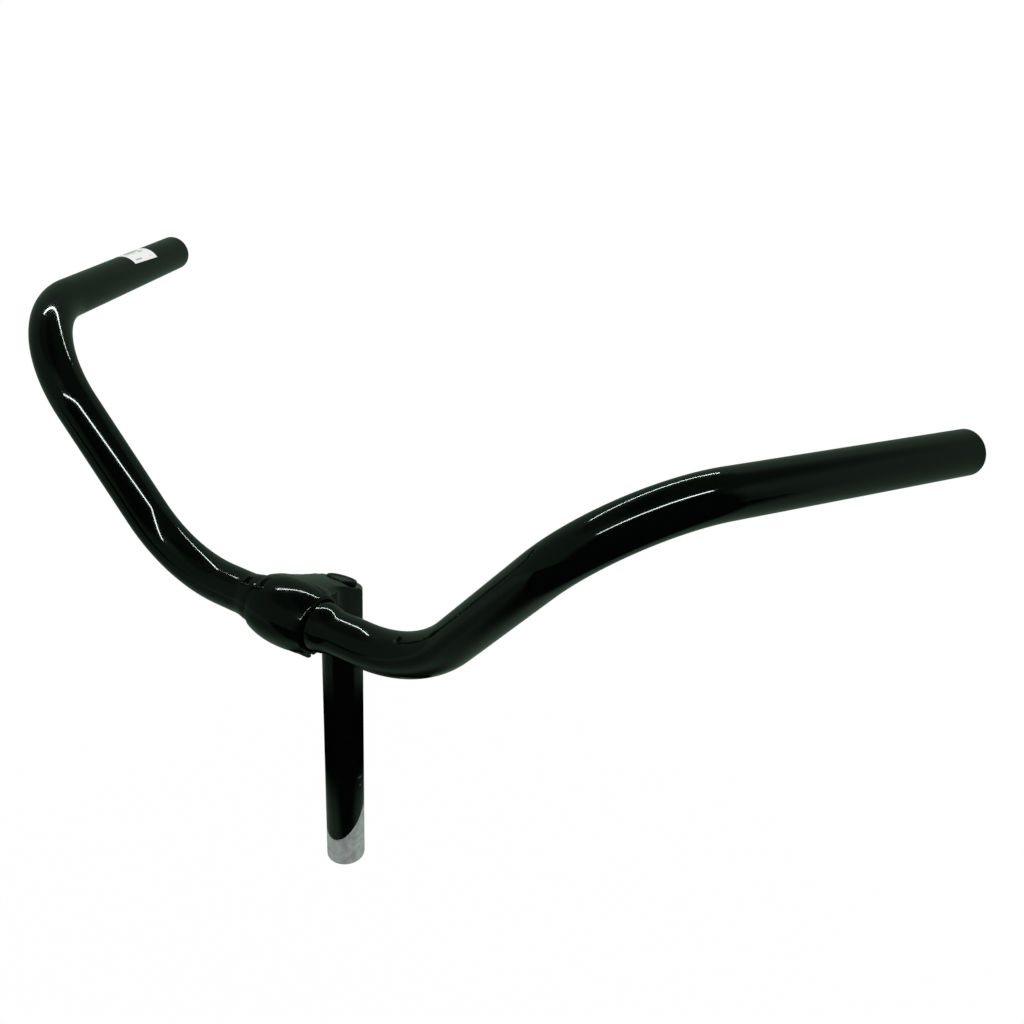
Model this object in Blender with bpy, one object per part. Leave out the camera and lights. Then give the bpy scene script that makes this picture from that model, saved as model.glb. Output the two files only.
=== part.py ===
"""City bike handlebar with the quill stem that holds it.

Metres, +Z up. X runs across the bike and +Y points back to the rider.
The quill's axis is Z, and the origin lies on it at the lowest level that the
steerer's top edge may reach. The bar's middle lies ahead of the quill, in the clamp.
"""

import math

import bpy
import bmesh
from mathutils import Matrix, Vector

# Handlebar tube. Corners of the centre line are measured from the middle of the bar.
BAR_DIA = 0.0222
BAR_WALL = 0.0016
CENTRE_DIA = 0.0254
CENTRE_LENGTH = 0.041
SWAGE_LENGTH = 0.0075
LOWER_CORNER_OUT = 0.0785
SHOULDER_OUT = 0.176
SHOULDER_FORWARD = 0.0085
SHOULDER_RISE = 0.1175
GRIP_END_OUT = 0.2655
GRIP_END_BACK = 0.175
GRIP_END_RISE = 0.1022
LOWER_BEND_RADIUS = 0.070
UPPER_BEND_RADIUS = 0.064
TUBE_EDGE = 0.0005

# Stem: where the bar sits, and the quill.
REACH = 0.038
BAR_HEIGHT = 0.125
QUILL_DIA = 0.0222
QUILL_BORE = 0.0160
HEAD_TILT = math.radians(26.0)
HEAD_ABOVE_BAR = 0.0004
QUILL_BELOW_MARK = 0.046
WEDGE_SLOPE = math.radians(35.0)
HEAD_EDGE = 0.0014
HEAD_SOLID = 0.036

# Clamp barrel, neck and ears.
BARREL_LENGTH = 0.0370
BARREL_WALL = 0.00475
BARREL_END_WALL = 0.00215
BARREL_EDGE = 0.0013
NECK_SLOPE = math.radians(24.5)
NECK_INSET = 0.0024
NECK_NARROW = 0.0202
NECK_BITE = 0.0095
NECK_ABOVE_BOLT = 0.0024
NECK_ROOT_DROP = 0.0080
NECK_SQUARENESS = 5.0
NECK_SINK = 0.0003
SLOT_WIDTH = 0.0024
SLOT_BACK = 0.0040
EAR_WIDTH = 0.0190
EAR_FRONT = 0.0075
EAR_DEPTH = 0.0069
EAR_LAND = 0.0008
EAR_EDGE = 0.0010

# Fasteners and the cap.
PINCH_THREAD_DIA = 0.006
PINCH_HEX = 0.010
PINCH_HEAD_HEIGHT = 0.004
PINCH_WASHER_DIA = 0.0115
PINCH_WASHER_THICK = 0.0012
PINCH_THREAD_DEPTH = 0.0085
PINCH_ABOVE_EAR_EDGE = 0.0066
EXPANDER_THREAD_DIA = 0.008
EXPANDER_HEAD_DIA = 0.013
EXPANDER_HEAD_HEIGHT = 0.008
EXPANDER_SOCKET = 0.006
EXPANDER_SOCKET_DEPTH = 0.004
EXPANDER_WASHER_THICK = 0.0015
HEAD_RECESS = 0.0200
WEDGE_BOTTOM = 0.065
WEDGE_EDGE = 0.0012
CAP_DIA = 0.0165
CAP_THICK = 0.0018
CAP_EDGE = 0.0008
CAP_PLUG_DIA = 0.0140
CAP_PLUG_LENGTH = 0.0045
CAP_PLUG_WALL = 0.0014
CAP_SEAT_DEPTH = 0.0002

# Clearances: between still neighbours, round the turning bar and round a bolt.
SEAT_GAP = 0.0003
BAR_GAP = 0.00015
BOLT_GAP = 0.0002

# Facets.
BAR_SIDES = 28
BARREL_SIDES = 48
QUILL_SIDES = 40
SMALL_SIDES = 24
NECK_STATIONS = 12
BEND_STEP = math.radians(5.5)
SHARP_ANGLE = math.radians(32.0)

CLAMP_CENTRE = Vector((0.0, -REACH, BAR_HEIGHT))
BORE_RADIUS = CENTRE_DIA / 2 + BAR_GAP
BARREL_RADIUS = BORE_RADIUS + BARREL_WALL
BARREL_END_RADIUS = BORE_RADIUS + BARREL_END_WALL
EAR_DROP = BARREL_RADIUS + EAR_DEPTH
PINCH_DROP = EAR_DROP - PINCH_ABOVE_EAR_EDGE
PINCH_WASHER_TOP = PINCH_DROP - PINCH_WASHER_DIA / 2
EAR_BACK = math.sqrt(BARREL_RADIUS**2 - PINCH_WASHER_TOP**2) + EAR_LAND
NECK_BELOW = PINCH_DROP - PINCH_HEX / 2 - NECK_ABOVE_BOLT
PINCH_HEAD_END = EAR_BACK + 2 * SEAT_GAP + PINCH_WASHER_THICK + PINCH_HEAD_HEIGHT
RECESS_RADIUS = EXPANDER_HEAD_DIA / 2 + 4 * BOLT_GAP
RECESS_FLOOR = BAR_HEIGHT - HEAD_RECESS


def clear_scene():
    for obj in list(bpy.data.objects):
        bpy.data.objects.remove(obj, do_unlink=True)


def make_material(name, colour, roughness, metallic):
    material = bpy.data.materials.new(name)
    material.use_nodes = True
    shader = material.node_tree.nodes["Principled BSDF"]
    shader.inputs["Base Color"].default_value = (*colour, 1.0)
    shader.inputs["Roughness"].default_value = roughness
    shader.inputs["Metallic"].default_value = metallic
    material.diffuse_color = (*colour, 1.0)
    return material


def add_object(name, bm, material=None):
    """Turn a bmesh into an object. One without a material is a cutter or a guide."""
    bmesh.ops.remove_doubles(bm, verts=bm.verts, dist=1e-7)
    bmesh.ops.recalc_face_normals(bm, faces=bm.faces)
    mesh = bpy.data.meshes.new(name)
    bm.to_mesh(mesh)
    bm.free()
    mesh.shade_smooth()
    mesh.set_sharp_from_angle(angle=SHARP_ANGLE)
    obj = bpy.data.objects.new(name, mesh)
    bpy.context.scene.collection.objects.link(obj)
    if material is None:
        obj.hide_render = True
        obj.display_type = "WIRE"
    else:
        mesh.materials.append(material)
    return obj


def add_boolean(target, other, operation):
    modifier = target.modifiers.new(other.name, "BOOLEAN")
    modifier.operation = operation
    modifier.solver = "EXACT"
    modifier.object = other


def skin(rings, closed_loop=False):
    """Join rings of equal count with faces, and close the two ends unless they form a loop."""
    bm = bmesh.new()
    loops = [[bm.verts.new(point) for point in ring] for ring in rings]
    following = loops[1:] + (loops[:1] if closed_loop else [])
    for ring, after in zip(loops, following):
        count = len(ring)
        for k in range(count):
            bm.faces.new((ring[k], after[k], after[(k + 1) % count], ring[(k + 1) % count]))
    if not closed_loop:
        bm.faces.new(loops[0])
        bm.faces.new(loops[-1])
    return bm


def turned(profile, sides, closed_profile=False):
    """Spin a profile of (radius, height) points round Z into one solid."""
    bm = bmesh.new()
    verts = [bm.verts.new((radius, 0.0, height)) for radius, height in profile]
    pairs = list(zip(verts, verts[1:]))
    if closed_profile:
        pairs.append((verts[-1], verts[0]))
    edges = [bm.edges.new(pair) for pair in pairs]
    bmesh.ops.spin(
        bm,
        geom=verts + edges,
        cent=(0.0, 0.0, 0.0),
        axis=(0.0, 0.0, 1.0),
        angle=math.tau,
        steps=sides,
        use_merge=True,
    )
    bmesh.ops.remove_doubles(bm, verts=bm.verts, dist=1e-6)
    return bm


def prism(outline, length):
    """Extrude a flat outline in XY from z = 0 up to the given length."""
    bm = bmesh.new()
    face = bm.faces.new([bm.verts.new((x, y, 0.0)) for x, y in outline])
    extruded = bmesh.ops.extrude_face_region(bm, geom=[face])
    top = [item for item in extruded["geom"] if isinstance(item, bmesh.types.BMVert)]
    bmesh.ops.translate(bm, verts=top, vec=(0.0, 0.0, length))
    return bm


def hexagon(across_flats):
    corner = across_flats / math.sqrt(3.0)
    return [
        (corner * math.cos(k * math.tau / 6), corner * math.sin(k * math.tau / 6)) for k in range(6)
    ]


def cylinder(radius, low, high, sides=SMALL_SIDES):
    return turned([(0.0, low), (radius, low), (radius, high), (0.0, high)], sides)


def corner_arc(before, corner, after, radius):
    """Points of the arc that rounds one corner of the centre line, both ends included."""
    back = (before - corner).normalized()
    ahead = (after - corner).normalized()
    turn = math.pi - back.angle(ahead)
    setback = radius * math.tan(turn / 2)
    start = corner + back * setback
    centre = corner + (back + ahead).normalized() * (radius / math.cos(turn / 2))
    axis = (-back).cross(ahead).normalized()
    steps = max(2, round(turn / BEND_STEP))
    spoke = start - centre
    return [
        centre + Matrix.Rotation(turn * k / steps, 3, axis) @ spoke for k in range(steps + 1)
    ]


def smooth_step(t):
    return t * t * (3.0 - 2.0 * t)


def half_bar_stations():
    """(point, outer radius) along the centre line from the middle of the bar to its end."""
    middle = Vector((0.0, 0.0, 0.0))
    lower = Vector((LOWER_CORNER_OUT, 0.0, 0.0))
    shoulder = Vector((SHOULDER_OUT, -SHOULDER_FORWARD, SHOULDER_RISE))
    grip_end = Vector((GRIP_END_OUT, GRIP_END_BACK, GRIP_END_RISE))
    wide = CENTRE_DIA / 2
    slim = BAR_DIA / 2
    stations = [(middle, wide)]
    swage_steps = 6
    for k in range(swage_steps + 1):
        t = k / swage_steps
        out = CENTRE_LENGTH / 2 + SWAGE_LENGTH * t
        stations.append((Vector((out, 0.0, 0.0)), wide + (slim - wide) * smooth_step(t)))
    bends = corner_arc(middle, lower, shoulder, LOWER_BEND_RADIUS)
    bends += corner_arc(lower, shoulder, grip_end, UPPER_BEND_RADIUS)
    stations += [(point, slim) for point in bends]
    run_out = (grip_end - shoulder).normalized()
    stations.append((grip_end - run_out * TUBE_EDGE, slim))
    stations.append((grip_end - run_out * TUBE_EDGE * 0.3, slim - TUBE_EDGE * 0.3))
    stations.append((grip_end, slim - TUBE_EDGE))
    return stations


def half_bar_frames(stations):
    """A tangent and a normal at each station, with the normal carried along without twist."""
    points = [point for point, radius in stations]
    frames = []
    normal = Vector((0.0, 0.0, 1.0))
    for k, point in enumerate(points):
        before = points[k - 1] if k > 0 else point - (points[1] - point)
        after = points[k + 1] if k + 1 < len(points) else point + (point - before)
        tangent = ((point - before).normalized() + (after - point).normalized()).normalized()
        normal = (normal - tangent * normal.dot(tangent)).normalized()
        frames.append((tangent, normal))
    return frames


def bar_ring(centre, tangent, normal, radius):
    side = tangent.cross(normal)
    ring = []
    for k in range(BAR_SIDES):
        angle = math.tau * k / BAR_SIDES
        ring.append(centre + (normal * math.cos(angle) + side * math.sin(angle)) * radius)
    return ring


def mirrored(ring):
    return [Vector((-point.x, point.y, point.z)) for point in ring]


def build_handlebar(material):
    """One drawn tube, swaged up in the middle, bent up and then back, open at both ends."""
    stations = half_bar_stations()
    frames = half_bar_frames(stations)
    outer = [
        bar_ring(point, tangent, normal, radius)
        for (point, radius), (tangent, normal) in zip(stations, frames)
    ]
    bored = stations[:-2] + stations[-1:]
    bored_frames = frames[:-2] + frames[-1:]
    inner = []
    for (point, radius), (tangent, normal) in zip(bored, bored_frames):
        inner_radius = max(radius, BAR_DIA / 2) - BAR_WALL
        inner.append(bar_ring(point, tangent, normal, inner_radius))
    outside = [mirrored(ring) for ring in reversed(outer[1:])] + outer
    inside = [mirrored(ring) for ring in reversed(inner[1:])] + inner
    bm = skin(outside + list(reversed(inside)), closed_loop=True)
    bar = add_object("handlebar", bm, material)
    bar.location = CLAMP_CENTRE
    return bar


def barrel_radius(x):
    """Outer radius of the clamp barrel at distance x from its middle, before the end edge."""
    end = BARREL_LENGTH / 2 - BARREL_EDGE
    swell = BARREL_RADIUS - BARREL_END_RADIUS
    return BARREL_RADIUS - swell * (abs(x) / end) ** 2.2


def barrel_guide():
    """The clamp barrel as a solid of revolution about X: an olive with flat, rounded-off ends."""
    flank = BARREL_LENGTH / 2 - BARREL_EDGE
    rim = BARREL_END_RADIUS
    half = []
    steps = 9
    for k in range(steps + 1):
        x = flank * k / steps
        half.append((barrel_radius(x), x))
    for k in range(1, 4):
        angle = k * math.pi / 6
        radius = rim - BARREL_EDGE * (1.0 - math.cos(angle))
        half.append((radius, flank + BARREL_EDGE * math.sin(angle)))
    profile = [(radius, -x) for radius, x in reversed(half[1:])] + half
    rings = []
    for radius, x in profile:
        ring = []
        for k in range(BARREL_SIDES):
            angle = math.tau * k / BARREL_SIDES
            offset = Vector((x, radius * math.cos(angle), radius * math.sin(angle)))
            ring.append(CLAMP_CENTRE + offset)
        rings.append(ring)
    return skin(rings)


def neck_section(y):
    """Half width and bottom of the neck at distance y behind the bar's axis."""
    start = BARREL_RADIUS * math.sin(NECK_SLOPE)
    root = REACH - QUILL_DIA / 2
    t = min(max((y - start) / (root - start), 0.0), 1.0)
    wide = BARREL_LENGTH - 2 * NECK_INSET
    half_width = (wide + (NECK_NARROW - wide) * smooth_step(t)) / 2
    behind_bolt = min(max((y - PINCH_HEAD_END) / (root - PINCH_HEAD_END), 0.0), 1.0)
    bottom = -NECK_BELOW - NECK_ROOT_DROP * behind_bolt**1.6
    return half_width, bottom


def neck_guide():
    """The neck, lofted through rounded-box sections whose tops carry on the barrel's olive shape."""
    start = BARREL_RADIUS * math.sin(NECK_SLOPE)
    end = REACH - QUILL_DIA / 2 + NECK_BITE
    power = 2.0 / NECK_SQUARENESS
    rings = []
    for k in range(NECK_STATIONS + 1):
        y = start + (end - start) * k / NECK_STATIONS
        half_width, bottom = neck_section(y)
        ring = []
        for j in range(QUILL_SIDES):
            angle = math.tau * j / QUILL_SIDES
            across = math.copysign(abs(math.cos(angle)) ** power, math.cos(angle))
            upward = math.copysign(abs(math.sin(angle)) ** power, math.sin(angle))
            x = half_width * across
            top = crown_height(x, y) - (NECK_SINK if k == 0 else 0.0)
            z = (top + bottom) / 2 + (top - bottom) / 2 * upward
            ring.append(CLAMP_CENTRE + Vector((x, y, z)))
        rings.append(ring)
    return skin(rings)


def quill_ring(radius, level, slope):
    """A ring round the quill's axis, on a plane that falls towards the rider by the slope."""
    ring = []
    for k in range(QUILL_SIDES):
        angle = math.tau * k / QUILL_SIDES
        x = radius * math.cos(angle)
        y = radius * math.sin(angle)
        ring.append(Vector((x, y, level - y * math.tan(slope))))
    return ring


def crown_height(x, y):
    """Height above the bar's axis of the slope that falls back from the barrel at x, y behind it."""
    return barrel_radius(x) / math.cos(NECK_SLOPE) - y * math.tan(NECK_SLOPE)


def head_level():
    """Height of the stem's sloping top face on the quill's axis."""
    return BAR_HEIGHT + HEAD_ABOVE_BAR


def wedge_cut_level():
    """Height of the quill's slanted lower end on its axis."""
    return -QUILL_BELOW_MARK + QUILL_DIA / 2 / math.tan(WEDGE_SLOPE)


def quill_guide():
    """The quill: a round shaft with a slanted foot and a sloping, edge-rounded head."""
    radius = QUILL_DIA / 2
    foot_slope = -(math.pi / 2 - WEDGE_SLOPE)
    rings = [quill_ring(radius, wedge_cut_level(), foot_slope)]
    for k in range(4):
        angle = k * math.pi / 6
        inset = HEAD_EDGE * (1.0 - math.cos(angle))
        drop = HEAD_EDGE * (1.0 - math.sin(angle))
        rings.append(quill_ring(radius - inset, head_level() - drop, HEAD_TILT))
    return skin(rings)


def ears_guide():
    """The lug under the barrel that the slot divides into two ears."""
    barrel = BARREL_RADIUS
    outline = [
        (-EAR_FRONT, -barrel * 0.66),
        (-EAR_FRONT, -math.sqrt(barrel**2 - EAR_FRONT**2)),
        (SLOT_BACK - SLOT_WIDTH, -EAR_DROP),
        (EAR_BACK, -EAR_DROP),
        (EAR_BACK, -barrel * 0.4),
        (0.0, -barrel * 0.66),
    ]
    bm = prism(outline, EAR_WIDTH)
    bmesh.ops.bevel(
        bm,
        geom=bm.edges,
        offset=EAR_EDGE,
        offset_type="OFFSET",
        segments=2,
        profile=0.5,
        affect="EDGES",
    )
    turn = Matrix(((0, 0, 1, 0), (1, 0, 0, 0), (0, 1, 0, 0), (0, 0, 0, 1)))
    shift = Matrix.Translation(CLAMP_CENTRE + Vector((-EAR_WIDTH / 2, 0.0, 0.0)))
    bm.transform(shift @ turn)
    return bm


def along_y(origin):
    """Frame for a turned cutter or bolt whose local +Z points to the rider."""
    return Matrix.Translation(origin) @ Matrix.Rotation(-math.pi / 2, 4, "X")


def pinch_seat():
    """Where the pinch bolt's axis meets the rear ear's back face."""
    return CLAMP_CENTRE + Vector((0.0, EAR_BACK, -PINCH_DROP))


def cap_frame():
    """Frame on the stem's sloping top face, with local +Z square to that face."""
    return Matrix.Translation((0.0, 0.0, head_level())) @ Matrix.Rotation(-HEAD_TILT, 4, "X")


def build_stem(material):
    """One forging: barrel, neck and quill, then bored, slotted and drilled."""
    stem = add_object("stem", barrel_guide(), material)
    add_boolean(stem, add_object("neck_guide", neck_guide()), "UNION")
    add_boolean(stem, add_object("quill_guide", quill_guide()), "UNION")
    add_boolean(stem, add_object("ears_guide", ears_guide()), "UNION")

    bore = cylinder(BORE_RADIUS, -BARREL_LENGTH, BARREL_LENGTH, BARREL_SIDES)
    bore.transform(Matrix.Translation(CLAMP_CENTRE) @ Matrix.Rotation(math.pi / 2, 4, "Y"))
    add_boolean(stem, add_object("bar_bore_cutter", bore), "DIFFERENCE")

    slot = prism(
        [
            (-BARREL_LENGTH, SLOT_BACK - SLOT_WIDTH / 2),
            (BARREL_LENGTH, SLOT_BACK - SLOT_WIDTH / 2),
            (BARREL_LENGTH, SLOT_BACK + SLOT_WIDTH / 2),
            (-BARREL_LENGTH, SLOT_BACK + SLOT_WIDTH / 2),
        ],
        2 * EAR_DROP,
    )
    slot.transform(Matrix.Translation(CLAMP_CENTRE + Vector((0.0, 0.0, -2 * EAR_DROP))))
    add_boolean(stem, add_object("slot_cutter", slot), "DIFFERENCE")

    thread_end = -(EAR_BACK - SLOT_BACK) - PINCH_THREAD_DEPTH + SLOT_WIDTH / 2
    pinch = cylinder(PINCH_THREAD_DIA / 2 + BOLT_GAP, thread_end, EAR_BACK)
    pinch.transform(along_y(pinch_seat()))
    add_boolean(stem, add_object("pinch_hole_cutter", pinch), "DIFFERENCE")

    shaft_top = BAR_HEIGHT - HEAD_SOLID
    above = BAR_HEIGHT + QUILL_DIA
    below = -QUILL_BELOW_MARK - QUILL_DIA
    hole = EXPANDER_THREAD_DIA / 2 + BOLT_GAP
    bored = turned(
        [
            (0.0, below),
            (QUILL_BORE / 2, below),
            (QUILL_BORE / 2, shaft_top),
            (hole, shaft_top + QUILL_BORE / 2 - hole),
            (hole, RECESS_FLOOR),
            (RECESS_RADIUS, RECESS_FLOOR),
            (RECESS_RADIUS, head_level() - CAP_PLUG_LENGTH),
            (0.0, head_level() - CAP_PLUG_LENGTH + RECESS_RADIUS),
        ],
        QUILL_SIDES,
    )
    add_boolean(stem, add_object("quill_bore_cutter", bored), "DIFFERENCE")

    plug_hole = CAP_PLUG_DIA / 2 + SEAT_GAP / 2
    seat = turned(
        [
            (0.0, -CAP_PLUG_LENGTH - SEAT_GAP),
            (plug_hole, -CAP_PLUG_LENGTH - SEAT_GAP),
            (plug_hole, -CAP_SEAT_DEPTH),
            (CAP_DIA / 2 + SEAT_GAP, -CAP_SEAT_DEPTH),
            (CAP_DIA / 2 + SEAT_GAP, above - head_level()),
            (0.0, above - head_level()),
        ],
        QUILL_SIDES,
    )
    seat.transform(cap_frame())
    add_boolean(stem, add_object("cap_seat_cutter", seat), "DIFFERENCE")
    return stem


def build_cap(material):
    """The plug that hides the expander bolt: a round lid with a short hollow skirt."""
    lid = CAP_DIA / 2
    plug = CAP_PLUG_DIA / 2
    low = -CAP_PLUG_LENGTH + SEAT_GAP
    base = SEAT_GAP - CAP_SEAT_DEPTH
    top = base + CAP_THICK
    profile = [
        (0.0, top),
        (lid - CAP_EDGE, top),
        (lid - CAP_EDGE * 0.3, top - CAP_EDGE * 0.3),
        (lid, top - CAP_EDGE),
        (lid, base),
        (plug, base),
        (plug, low),
        (plug - CAP_PLUG_WALL, low),
        (plug - CAP_PLUG_WALL, base),
        (0.0, base),
    ]
    cap = add_object("top_cap", turned(profile, QUILL_SIDES), material)
    cap.matrix_world = cap_frame()
    return cap


def build_expander_bolt(material):
    """The long socket-head bolt that runs down through the quill into the wedge."""
    shank = EXPANDER_THREAD_DIA / 2
    head = EXPANDER_HEAD_DIA / 2
    under_head = RECESS_FLOOR + EXPANDER_WASHER_THICK + 2 * SEAT_GAP
    tip = -WEDGE_BOTTOM - under_head
    chamfer = shank * 0.2
    profile = [
        (0.0, tip),
        (shank - chamfer, tip),
        (shank, tip + chamfer),
        (shank, 0.0),
        (head, 0.0),
        (head, EXPANDER_HEAD_HEIGHT - chamfer),
        (head - chamfer, EXPANDER_HEAD_HEIGHT),
        (0.0, EXPANDER_HEAD_HEIGHT),
    ]
    bolt = add_object("expander_bolt", turned(profile, SMALL_SIDES), material)
    bolt.location = (0.0, 0.0, under_head)
    socket = prism(hexagon(EXPANDER_SOCKET), EXPANDER_SOCKET_DEPTH * 2)
    floor = under_head + EXPANDER_HEAD_HEIGHT - EXPANDER_SOCKET_DEPTH
    socket.transform(Matrix.Translation((0.0, 0.0, floor)))
    add_boolean(bolt, add_object("expander_socket_cutter", socket), "DIFFERENCE")
    return bolt


def washer(bore, outer, thick):
    return turned([(bore, 0.0), (outer, 0.0), (outer, thick), (bore, thick)], SMALL_SIDES, True)


def build_expander_washer(material):
    outer = RECESS_RADIUS - SEAT_GAP
    bm = washer(EXPANDER_THREAD_DIA / 2 + BOLT_GAP, outer, EXPANDER_WASHER_THICK)
    ring = add_object("expander_washer", bm, material)
    ring.location = (0.0, 0.0, RECESS_FLOOR + SEAT_GAP)
    return ring


def build_wedge(material):
    """The slanted wedge that the expander bolt draws up against the quill's foot."""
    radius = QUILL_DIA / 2
    foot_slope = -(math.pi / 2 - WEDGE_SLOPE)
    drop = SEAT_GAP / math.sin(WEDGE_SLOPE)
    rings = [
        quill_ring(radius - WEDGE_EDGE, -WEDGE_BOTTOM, 0.0),
        quill_ring(radius, -WEDGE_BOTTOM + WEDGE_EDGE, 0.0),
        quill_ring(radius, wedge_cut_level() - drop, foot_slope),
    ]
    wedge = add_object("expander_wedge", skin(rings), material)
    hole = cylinder(EXPANDER_THREAD_DIA / 2 + BOLT_GAP, -2 * WEDGE_BOTTOM, QUILL_DIA)
    add_boolean(wedge, add_object("wedge_hole_cutter", hole), "DIFFERENCE")
    return wedge


def build_pinch_washer(material):
    bore = PINCH_THREAD_DIA / 2 + BOLT_GAP
    bm = washer(bore, PINCH_WASHER_DIA / 2, PINCH_WASHER_THICK)
    ring = add_object("pinch_washer", bm, material)
    ring.matrix_world = along_y(pinch_seat() + Vector((0.0, SEAT_GAP, 0.0)))
    return ring


def build_pinch_bolt(material):
    """The hexagon bolt that draws the two ears together round the bar."""
    seat = pinch_seat() + Vector((0.0, PINCH_WASHER_THICK + 2 * SEAT_GAP, 0.0))
    grip = EAR_BACK - SLOT_BACK + PINCH_THREAD_DEPTH - SLOT_WIDTH / 2
    tip = -(grip + PINCH_WASHER_THICK + SEAT_GAP)
    shank = PINCH_THREAD_DIA / 2
    chamfer = shank * 0.2
    profile = [
        (0.0, tip),
        (shank - chamfer, tip),
        (shank, tip + chamfer),
        (shank, PINCH_HEAD_HEIGHT / 2),
        (0.0, PINCH_HEAD_HEIGHT / 2),
    ]
    head = prism(hexagon(PINCH_HEX), PINCH_HEAD_HEIGHT)
    bolt = add_object("pinch_bolt", head, material)
    bolt.matrix_world = along_y(seat)
    guide = turned(profile, SMALL_SIDES)
    guide.transform(along_y(seat))
    add_boolean(bolt, add_object("pinch_shank_guide", guide), "UNION")
    return bolt


def build_part():
    clear_scene()
    gloss_black = make_material("gloss_black_paint", (0.012, 0.014, 0.013), 0.16, 0.0)
    stem_black = make_material("satin_black_paint", (0.016, 0.018, 0.016), 0.24, 0.0)
    cap_black = make_material("black_plastic", (0.015, 0.015, 0.015), 0.45, 0.0)
    bolt_black = make_material("blackened_steel", (0.05, 0.05, 0.055), 0.35, 1.0)
    zinc = make_material("zinc_plated_steel", (0.55, 0.56, 0.58), 0.3, 1.0)
    alloy = make_material("bare_aluminium", (0.72, 0.73, 0.75), 0.35, 1.0)
    build_handlebar(gloss_black)
    build_stem(stem_black)
    build_cap(cap_black)
    build_pinch_bolt(bolt_black)
    build_pinch_washer(bolt_black)
    build_expander_bolt(zinc)
    build_expander_washer(zinc)
    build_wedge(alloy)


build_part()
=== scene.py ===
"""City bike handlebar in its quill stem, as it stands in a plain studio."""

import math

import bmesh
import bpy
import numpy as np
from mathutils import Matrix


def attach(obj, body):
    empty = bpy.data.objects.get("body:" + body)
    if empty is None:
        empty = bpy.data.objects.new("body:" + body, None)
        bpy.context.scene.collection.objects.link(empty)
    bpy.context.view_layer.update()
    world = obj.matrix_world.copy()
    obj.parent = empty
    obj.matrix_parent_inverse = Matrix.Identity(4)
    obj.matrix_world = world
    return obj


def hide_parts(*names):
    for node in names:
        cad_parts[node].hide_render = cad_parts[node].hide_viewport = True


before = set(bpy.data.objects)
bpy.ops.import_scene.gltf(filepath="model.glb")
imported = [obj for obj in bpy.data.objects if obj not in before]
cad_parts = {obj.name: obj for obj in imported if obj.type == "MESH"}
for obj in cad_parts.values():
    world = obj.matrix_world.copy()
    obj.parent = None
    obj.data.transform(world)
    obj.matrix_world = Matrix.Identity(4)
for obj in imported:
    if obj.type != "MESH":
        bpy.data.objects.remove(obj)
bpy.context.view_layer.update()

# Camera. It stands to the right, in front and above, tilted a little, as a hand-held camera is.
# The stem's clamp lies near the picture's left half, so the lens is shifted slightly.
CLAMP = np.array([0.0, -0.038, 0.125])
PICTURE = 1024.0
SENSOR = 36.0
FOCAL_PIXELS = 1091.076
MIDDLE_PIXEL = (502.945, 473.122)
camera_azimuth, camera_elevation, camera_roll = np.radians([31.288, 25.625, 3.104])
camera_place = CLAMP + np.array([0.325362, -0.339536, 0.304093])
back = np.array([
    math.sin(camera_azimuth) * math.cos(camera_elevation),
    -math.cos(camera_azimuth) * math.cos(camera_elevation),
    math.sin(camera_elevation),
])
level = np.array([math.cos(camera_azimuth), math.sin(camera_azimuth), 0.0])
upright = np.cross(level, -back)
picture_right = math.cos(camera_roll) * level + math.sin(camera_roll) * upright
picture_up = -math.sin(camera_roll) * level + math.cos(camera_roll) * upright


def stand(obj, right, up, back, at):
    """Put an object in the scene at a place, with its own X, Y and Z along three directions."""
    bpy.context.scene.collection.objects.link(obj)
    pose = np.eye(4)
    pose[:3, 0], pose[:3, 1], pose[:3, 2], pose[:3, 3] = right, up, back, at
    obj.matrix_world = Matrix(pose.tolist())


lens = bpy.data.cameras.new("camera")
lens.sensor_width = SENSOR
lens.lens = FOCAL_PIXELS * SENSOR / PICTURE
lens.shift_x = (PICTURE / 2 - MIDDLE_PIXEL[0]) / PICTURE
lens.shift_y = -(PICTURE / 2 - MIDDLE_PIXEL[1]) / PICTURE
lens.clip_start = 0.01
lens.clip_end = 60.0
camera = bpy.data.objects.new("camera", lens)
stand(camera, picture_right, picture_up, back, camera_place)
bpy.context.scene.camera = camera
bpy.context.scene.view_settings.view_transform = "Standard"


# Handlebar. One steel tube, 22.2 mm, swaged up to 25.4 mm where the clamp holds it, bent twice
# on each side on a mandrel, and painted gloss black. Its ends are open, with rounded lips.
GRIP_RADIUS = 0.0111
CENTRE_RADIUS = 0.0127
WALL = 0.0016
SWAGE = (0.0207, 0.0308)
AXIS_CORNERS = [
    ((0.0, 0.0, 0.0), None),
    ((0.0785, 0.0, 0.0), 0.070),
    ((0.176, -0.0085, 0.1175), 0.064),
    ((0.2655, 0.175, 0.1022), None),
]
RING_SPACING = 0.0016
LIP_RADIUS = 0.0005
LIP_STEP = 0.0002
AROUND = 96


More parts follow.
